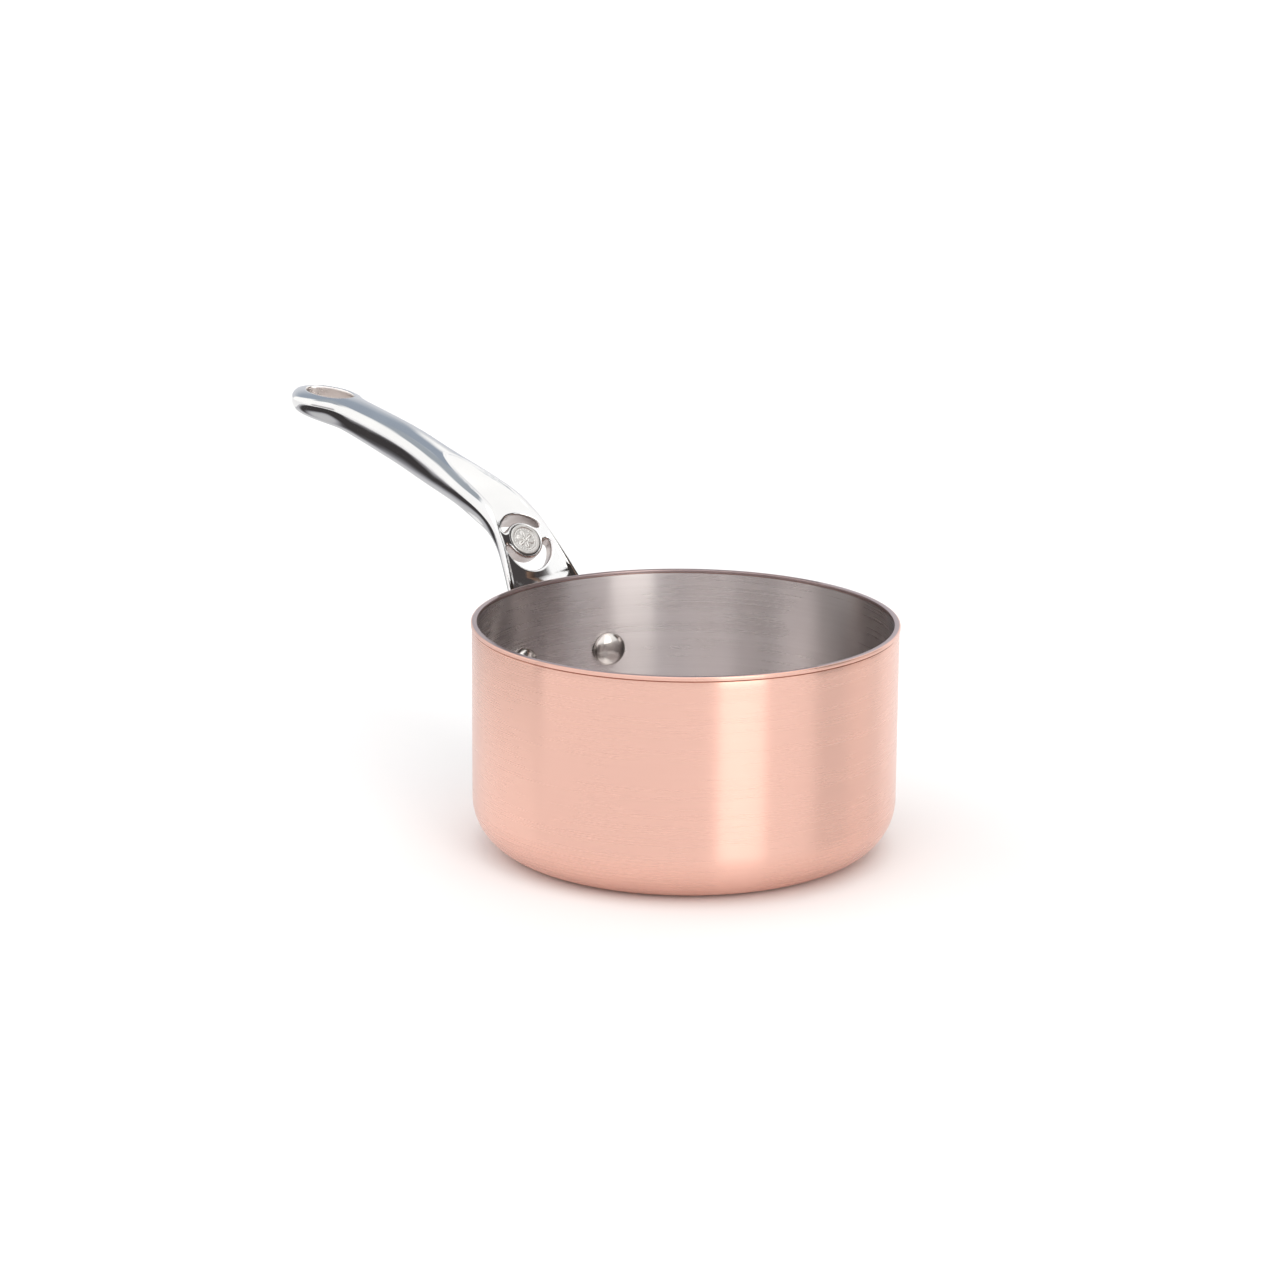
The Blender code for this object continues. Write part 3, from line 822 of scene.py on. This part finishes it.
class Nodes:
    """Short names for building the node tree of a new material, or of the world."""

    def __init__(self, owner, shader):
        owner.use_nodes = True
        self.owner = owner
        self.tree = owner.node_tree
        self.shader = self.tree.nodes[shader]

    def add(self, kind, **settings):
        """New node with these settings."""
        node = self.tree.nodes.new(kind)
        for key, value in settings.items():
            setattr(node, key, value)
        return node

    def feed(self, sockets, values):
        """Give each socket its number, its colour or a link from another node's output."""
        for socket, value in zip(sockets, values):
            if isinstance(value, (int, float)):
                socket.default_value = value
            elif isinstance(value, tuple):
                socket.default_value = (*value, 1.0)
            else:
                self.tree.links.new(value, socket)

    def shade(self, **values):
        """Give the shader's inputs their values; an underscore stands for a space."""
        for name, value in values.items():
            self.feed((self.shader.inputs[name.replace("_", " ")],), (value,))

    def math(self, operation, *values):
        """Sum, product or other function of numbers."""
        node = self.add("ShaderNodeMath", operation=operation)
        self.feed(node.inputs, values)
        return node.outputs[0]

    def position(self):
        """Place on the object in metres: whole, then x, y and z."""
        position = self.add("ShaderNodeTexCoord").outputs["Object"]
        split = self.add("ShaderNodeSeparateXYZ")
        self.feed(split.inputs, (position,))
        return (position, *split.outputs)

    def noise(self, vector, scale, detail, roughness):
        """Cloudy noise from 0 to 1."""
        node = self.add("ShaderNodeTexNoise")
        node.inputs["Scale"].default_value = scale
        node.inputs["Detail"].default_value = detail
        node.inputs["Roughness"].default_value = roughness
        self.feed((node.inputs["Vector"],), (vector,))
        return node.outputs["Fac"]

    def spread(self, value, low, high, start, end, shape="SMOOTHSTEP"):
        """From low at start to high at end."""
        node = self.add("ShaderNodeMapRange", interpolation_type=shape)
        node.inputs["From Min"].default_value = start
        node.inputs["From Max"].default_value = end
        node.inputs["To Min"].default_value = low
        node.inputs["To Max"].default_value = high
        self.feed((node.inputs["Value"],), (value,))
        return node.outputs["Result"]

    def ramp(self, value, stops):
        """Colour between stops, each a position and a colour."""
        node = self.add("ShaderNodeValToRGB")
        elements = node.color_ramp.elements
        while len(elements) < len(stops):
            elements.new(0.5)
        for element, (position, colour) in zip(elements, stops):
            element.position = position
            element.color = (*colour, 1.0)
        self.feed((node.inputs["Fac"],), (value,))
        return node.outputs["Color"]

    def mix(self, factor, first, second):
        """Mixture of two colours."""
        node = self.add("ShaderNodeMix", data_type="RGBA")
        self.feed((node.inputs[0], node.inputs[6], node.inputs[7]), (factor, first, second))
        return node.outputs[2]

    def bump(self, height, strength, distance, *normal):
        """Normal for this relief, laid over another normal if one is given."""
        node = self.add("ShaderNodeBump")
        node.inputs["Strength"].default_value = strength
        node.inputs["Distance"].default_value = distance
        self.feed((node.inputs["Height"],), (height,))
        self.feed((node.inputs["Normal"],), normal)
        return node.outputs["Normal"]


def new_material(name):
    """Nodes of a new material."""
    return Nodes(bpy.data.materials.new(name), "Principled BSDF")


def axis_distance(nodes, x, y):
    """Distance from the pan's axis."""
    square = nodes.math("ADD", nodes.math("MULTIPLY", x, x), nodes.math("MULTIPLY", y, y))
    return nodes.math("SQRT", square)


def brushed_material(name, tints, roughness, bump, anisotropy, wear):
    """Metal brushed round the pan's axis: long fine lines on the wall, rings on the base."""
    nodes = new_material(name)
    position, x, y, z = nodes.position()
    # On the wall the lines are told apart by height, on the base by distance from the axis.
    ruler = nodes.math("ADD", z, axis_distance(nodes, x, y))
    stretched = nodes.add("ShaderNodeCombineXYZ")
    nodes.feed(stretched.inputs, (
        nodes.math("MULTIPLY", x, BRUSH_ALONG),
        nodes.math("MULTIPLY", y, BRUSH_ALONG),
        nodes.math("MULTIPLY", ruler, BRUSH_ACROSS)))
    across = stretched.outputs[0]
    fine = nodes.noise(across, 34.0, 3.0, 0.6)
    medium = nodes.noise(across, 9.0, 2.0, 0.55)
    cloud = nodes.noise(position, 22.0, 3.0, 0.55)
    lines = nodes.math("ADD", nodes.math("MULTIPLY", fine, 0.5), nodes.math("MULTIPLY", medium, 0.5))
    tone = nodes.math("ADD", nodes.math("MULTIPLY", lines, 0.6), nodes.math("MULTIPLY", cloud, 0.4))
    low, high = roughness - 0.013, roughness + 0.013
    rough = nodes.math(
        "ADD", nodes.spread(lines, low, high, 0.3, 0.7), nodes.spread(cloud, -wear, wear, 0.3, 0.7))
    tangent = nodes.add("ShaderNodeTangent", direction_type="RADIAL", axis="Z")
    nodes.shade(
        Base_Color=nodes.ramp(tone, ((0.32, tints[0]), (0.5, tints[1]), (0.68, tints[2]))),
        Roughness=rough, Normal=nodes.bump(fine, bump, 0.00001), Tangent=tangent.outputs[0],
        Metallic=1.0, Anisotropic=anisotropy, Anisotropic_Rotation=0.25)
    return nodes.owner


def polished_material(name, tints, roughness, ripple):
    """Polished casting: nearly a mirror, with slight waves, faint buffing marks and clouding."""
    nodes = new_material(name)
    position = nodes.add("ShaderNodeTexCoord").outputs["Object"]
    cloud = nodes.noise(position, 40.0, 3.0, 0.5)
    marks = nodes.add("ShaderNodeMapping")
    marks.inputs["Scale"].default_value = (40.0, 900.0, 900.0)
    nodes.feed((marks.inputs["Vector"],), (position,))
    buff = nodes.noise(marks.outputs[0], 1.0, 2.0, 0.6)
    low, high = roughness - 0.02, roughness + 0.03
    rough = nodes.math(
        "ADD", nodes.spread(cloud, low, high, 0.3, 0.7), nodes.spread(buff, -0.015, 0.03, 0.3, 0.75))
    waves = nodes.bump(nodes.noise(position, 90.0, 1.0, 0.4), ripple, 0.0004)
    nodes.shade(
        Base_Color=nodes.ramp(cloud, ((0.3, tints[0]), (0.7, tints[1]))),
        Roughness=rough, Normal=nodes.bump(buff, 0.05, 0.00002, waves), Metallic=1.0)
    return nodes.owner


def cast_material(name):
    """Matt cast steel with a fine grain and random darker patches."""
    nodes = new_material(name)
    position = nodes.add("ShaderNodeTexCoord").outputs["Object"]
    grain = nodes.noise(position, 2600.0, 3.0, 0.65)
    patch = nodes.noise(position, 420.0, 2.0, 0.5)
    tone = nodes.math("ADD", nodes.math("MULTIPLY", grain, 0.6), nodes.math("MULTIPLY", patch, 0.4))
    dark, middle, light = (0.5, 0.49, 0.475), (0.72, 0.71, 0.69), (0.84, 0.83, 0.81)
    nodes.shade(
        Base_Color=nodes.ramp(tone, ((0.3, dark), (0.5, middle), (0.7, light))),
        Roughness=nodes.spread(tone, 0.5, 0.36, 0.3, 0.7), Normal=nodes.bump(grain, 0.5, 0.0001),
        Metallic=1.0)
    return nodes.owner


# ---- build

def build_pan():
    """The six pieces of the pan, each in place of its CAD node."""
    copper = brushed_material(
        "brushed_copper",
        ((0.828, 0.51, 0.422), (0.84, 0.522, 0.433), (0.852, 0.534, 0.444)),
        roughness=0.275, bump=0.008, anisotropy=1.0, wear=0.01)
    lining = brushed_material(
        "brushed_steel",
        ((0.69, 0.645, 0.64), (0.72, 0.677, 0.672), (0.75, 0.708, 0.703)),
        roughness=0.28, bump=0.015, anisotropy=1.0, wear=0.012)
    rivet = polished_material("rivet_polish", ((0.66, 0.63, 0.6), (0.74, 0.72, 0.69)), 0.18, 0.02)
    cast = polished_material("cast_polish", ((0.685, 0.685, 0.69), (0.735, 0.735, 0.735)), 0.055, 0.01)
    # Painted shade: the slots' walls get a darker, warmer colour that stands in for the shade inside the
    # slots and the copper reflected in them.
    slot_wall = polished_material("slot_wall_painted_shade", ((0.5, 0.455, 0.44), (0.56, 0.515, 0.5)), 0.3, 0.05)
    hole_wall = polished_material("cast_hole_wall", ((0.82, 0.78, 0.755), (0.87, 0.83, 0.81)), 0.27, 0.05)
    matt = cast_material("cast_matt")
    edge = brushed_material(
        "clad_edge",
        ((0.44, 0.35, 0.35), (0.5, 0.39, 0.39), (0.56, 0.44, 0.43)),
        roughness=0.3, bump=0.05, anisotropy=0.3, wear=0.02)
    # Painted shade: a dark red-brown copper colour on the faces just under the lip stands in for the
    # shadow in the groove there.
    groove = brushed_material(
        "groove_painted_shade",
        ((0.34, 0.13, 0.085), (0.4, 0.16, 0.105), (0.46, 0.2, 0.14)),
        roughness=0.45, bump=0.05, anisotropy=0.3, wear=0.02)

    shell = turned_object("saucepan_copper", list(reversed(copper_profile())), TURN_SEGMENTS, copper)
    shell.data.materials.append(edge)
    shell.data.materials.append(groove)
    for face in shell.data.polygons:
        out = math.hypot(face.center.x, face.center.y) / MM
        down = PAN_HEIGHT - face.center.z / MM
        if down < RIM_LEDGE + 0.1 and out < OUTER_RADIUS - 0.55:
            face.material_index = 1
        elif LIP_HEIGHT - 0.12 < down < LIP_HEIGHT + 0.42 and out > OUTER_RADIUS - 0.3:
            # Faces in the groove under the lip take the painted shade.
            face.material_index = 2
    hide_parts("copper_shell")
    inside = turned_object("saucepan_lining", list(reversed(lining_profile())), TURN_SEGMENTS, lining)
    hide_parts("steel_lining")

    for side, azimuth in (("left", RIVET_AZIMUTH), ("right", -RIVET_AZIMUTH)):
        at = radial_matrix(azimuth, RIVET_HEIGHT)
        piece = turned_object("saucepan_rivet_" + side, rivet_profile(), 72, rivet, at)
        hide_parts("rivet_" + side)

    handle = Handle()
    points, faces, normals = surface_net(handle, NET_PITCH)
    grip = make_object("saucepan_handle", (points * MM).tolist(), faces.tolist(), cast, normals.tolist())
    grip.data.materials.append(slot_wall)
    grip.data.materials.append(hole_wall)
    grip.data.polygons.foreach_set("material_index", handle.wall_slots(points, faces, normals))
    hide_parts("handle")

    vertices, sides = medallion_mesh(handle.blade_matrix())
    badge = make_object("saucepan_medallion", vertices, sides, matt)
    badge.data.set_sharp_from_angle(angle=math.radians(40.0))
    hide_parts("medallion")


def sheet(name, nodes, colour, gloss, along, across, place):
    """Dull sheet of along x across faces; place(i, k) gives the corner of row i and column k."""
    row = across + 1
    vertices = [place(i, k) for i in range(along + 1) for k in range(row)]
    faces = [(row * i + k, row * (i + 1) + k, row * (i + 1) + k + 1, row * i + k + 1)
             for i in range(along) for k in range(across)]
    nodes.shade(Base_Color=colour, Roughness=0.9, Specular_IOR_Level=gloss)
    return put_in_scene(name, plain_mesh(name, vertices, faces, nodes.owner))


def only_in_reflections(card):
    """Hide a card from everything except reflections."""
    card.visible_camera = False
    card.visible_diffuse = False
    card.visible_shadow = False
    card.visible_transmission = False


def build_stage():
    """The pale floor."""
    size = 14.0
    steps = 28
    nodes = new_material("pale_floor")
    tone = nodes.noise(nodes.position()[0], 3.0, 2.0, 0.5)
    colour = nodes.ramp(tone, ((0.3, (0.9, 0.9, 0.9)), (0.7, (0.92, 0.92, 0.92))))
    floor = sheet("floor", nodes, colour, 0.1, steps, steps, lambda i, k: (
        -size + 2 * size * i / steps, -size + 2 * size * k / steps, 0.0))


# Directions of the studio's light and dark areas: middle azimuth, half width, soft edge,
# lowest and highest elevation, soft edge (all in degrees), then the brightness and tint there.
STUDIO = (
    ("camera_side", 106.0, 50.0, 5.0, -20.0, 14.0, 6.0, (0.48, 0.46, 0.46)),
    ("front_box", 104.0, 46.0, 8.0, 20.0, 78.0, 5.0, (1.2, 1.165, 1.165)),
    ("dark_right", -118.0, 27.0, 4.0, -20.0, 47.5, 5.0, (0.07, 0.062, 0.062)),
    ("brown_strip", -113.0, 9.0, 4.0, -20.0, 18.0, 4.0, (0.5, 0.33, 0.25)),
    ("key_box", 172.5, 12.5, 1.5, -10.0, 62.0, 8.0, (2.6, 2.54, 2.46)),
    ("blue_back", -16.0, 24.0, 2.5, -20.0, 53.0, 3.0, (0.36, 0.41, 0.48)),
    ("back_low", -19.0, 30.0, 4.0, -20.0, 22.0, 9.0, (0.66, 0.68, 0.72)),
    ("back_box", -69.0, 28.0, 1.5, 28.0, 100.0, 3.0, (1.2, 1.19, 1.17)),
    ("side_box", 30.0, 27.0, 3.0, -20.0, 47.0, 4.0, (1.2, 1.19, 1.165)),
    ("strip_card", 3.0, 20.0, 4.0, 47.0, 69.0, 4.0, (0.42, 0.46, 0.5)),
    ("overhead", 0.0, 181.0, 0.5, 79.0, 100.0, 3.0, (1.9, 1.9, 1.9)),
)
SKY = (1.2, 1.195, 1.19)
HORIZON = (0.9, 0.89, 0.89)
STUDIO_STRENGTH = 1.13


def build_light():
    """A white studio: bright overhead, with soft boxes and darker areas round the sides."""
    world = bpy.data.worlds.new("studio")
    bpy.context.scene.world = world
    nodes = Nodes(world, "Background")
    split = nodes.add("ShaderNodeSeparateXYZ")
    nodes.feed(split.inputs, (nodes.add("ShaderNodeTexCoord").outputs["Generated"],))
    x, y, z = split.outputs
    azimuth = nodes.math("MULTIPLY", nodes.math("ARCTAN2", y, x), 180.0 / math.pi)
    elevation = nodes.math("MULTIPLY", nodes.math("ARCSINE", z), 180.0 / math.pi)
    colour = nodes.mix(nodes.spread(elevation, 0.0, 1.0, 4.0, 50.0), HORIZON, SKY)
    for _, middle, half, soft, low, high, edge, level in STUDIO:
        offset = nodes.math("WRAP", nodes.math("SUBTRACT", azimuth, middle), 180.0, -180.0)
        away = nodes.math("ABSOLUTE", offset)
        mask = nodes.spread(away, 1.0, 0.0, half - soft, half + soft)
        above = nodes.spread(elevation, 0.0, 1.0, low - edge, low + edge)
        below = nodes.spread(elevation, 1.0, 0.0, high - edge, high + edge)
        mask = nodes.math("MULTIPLY", mask, nodes.math("MULTIPLY", above, below))
        colour = nodes.mix(mask, colour, level)
    nodes.shade(Color=colour, Strength=STUDIO_STRENGTH)


# Card on the floor beyond the pan: radii in metres, and how its outer edge grows with the angle.
FLAG_INNER = 0.335
FLAG_OUTER = 0.49
FLAG_SLANT = 0.888
FLAG_ANGLES = (-20.0, 66.0)
FLAG_HEIGHT = 0.003


def build_flag():
    """Card on the floor, light near the pan and dark further out, seen only in reflections."""
    steps = 56
    rows = 8

    def place(i, k):
        """Corner of the card, out along i and round along k."""
        angle = math.radians(FLAG_ANGLES[0] + (FLAG_ANGLES[1] - FLAG_ANGLES[0]) * k / steps)
        outer = FLAG_OUTER + FLAG_SLANT * max(angle, 0.1)
        radius = FLAG_INNER + (outer - FLAG_INNER) * i / rows
        return radius * math.cos(angle), radius * math.sin(angle), FLAG_HEIGHT

    nodes = new_material("graded_card")
    _, x, y, _ = nodes.position()
    angle = nodes.math("ARCTAN2", y, x)
    radius = axis_distance(nodes, x, y)
    later = nodes.math("SUBTRACT", radius, nodes.spread(angle, 0.0, 0.04, 0.12, 0.36))
    reach = nodes.spread(later, 0.0, 1.0, FLAG_INNER, 0.455, "LINEAR")
    stops = ((0.0, (0.56, 0.56, 0.57)), (0.3, (0.5, 0.505, 0.52)), (0.5, (0.33, 0.33, 0.35)))
    stops += ((0.75, (0.1, 0.098, 0.103)), (0.95, (0.05, 0.046, 0.047)))
    colour = nodes.ramp(reach, stops)
    slanted = nodes.math("SUBTRACT", radius, nodes.math("MULTIPLY", angle, FLAG_SLANT))
    far = nodes.spread(slanted, 0.0, 1.0, 0.3, 0.45)
    colour = nodes.mix(far, colour, (0.5, 0.5, 0.52))
    side = nodes.spread(angle, 1.0, 0.0, -0.05, 0.08)
    colour = nodes.mix(side, colour, (0.58, 0.585, 0.6))
    flag = sheet("flag", nodes, colour, 0.0, rows, steps, place)
    only_in_reflections(flag)


# Collar over the back of the rim: angles in degrees, then millimetres.
COLLAR_ANGLES = (-78.0, 24.0)
COLLAR_RADIUS = OUTER_RADIUS + 1.2
COLLAR_BASE = PAN_HEIGHT + 1.0
COLLAR_LOWEST = 13.0
COLLAR_RISE = 25.0


def build_collar():
    """Dark collar, seen only in reflections, that shades both ends of the lining."""
    steps = 48

    def place(i, k):
        """Corner of the collar, which is lowest beside the handle."""
        degrees = COLLAR_ANGLES[0] + (COLLAR_ANGLES[1] - COLLAR_ANGLES[0]) * i / steps
        angle = math.radians(degrees)
        tall = COLLAR_LOWEST + COLLAR_RISE * float(eased(abs(degrees + 1.0), 9.0, 20.0))
        x, y = COLLAR_RADIUS * math.cos(angle), COLLAR_RADIUS * math.sin(angle)
        return x * MM, y * MM, (COLLAR_BASE + tall * k) * MM

    nodes = new_material("dark_card")
    _, x, y, _ = nodes.position()
    dark = (0.03, 0.022, 0.02)
    brown = (0.3, 0.19, 0.135)
    ends = (math.radians(-80.0), math.radians(20.0))
    along = nodes.spread(nodes.math("ARCTAN2", y, x), 0.0, 1.0, *ends, "LINEAR")
    stops = ((0.07, dark), (0.14, brown), (0.22, brown), (0.29, dark))
    stops += ((0.48, dark), (0.55, brown), (0.6, brown), (0.68, dark))
    collar = sheet("collar", nodes, nodes.ramp(along, stops), 0.0, steps, 1, place)
    only_in_reflections(collar)


CAMERA_PLACE = (-1.16633, 0.91781, 0.47880)
CAMERA_RIGHT = (-0.60753, -0.79426, 0.00737)
CAMERA_FORWARD = (0.76606, -0.58836, -0.25880)


def build_camera():
    """Long lens, looking down at the side of the pan away from the handle."""
    data = bpy.data.cameras.new("camera")
    data.lens = 112.5
    data.sensor_width = 36.0
    data.clip_start = 0.05
    data.clip_end = 60.0
    camera = put_in_scene("camera", data)
    right = Vector(CAMERA_RIGHT).normalized()
    forward = Vector(CAMERA_FORWARD).normalized()
    up = right.cross(forward).normalized()
    matrix = Matrix.Identity(4)
    matrix.col[0][:3] = forward.cross(up)
    matrix.col[1][:3] = up
    matrix.col[2][:3] = -forward
    matrix.col[3][:3] = CAMERA_PLACE
    camera.matrix_world = matrix
    bpy.context.scene.camera = camera


build_pan()
build_stage()
build_light()
build_flag()
build_collar()
build_camera()
bpy.context.scene.view_settings.view_transform = "Standard"
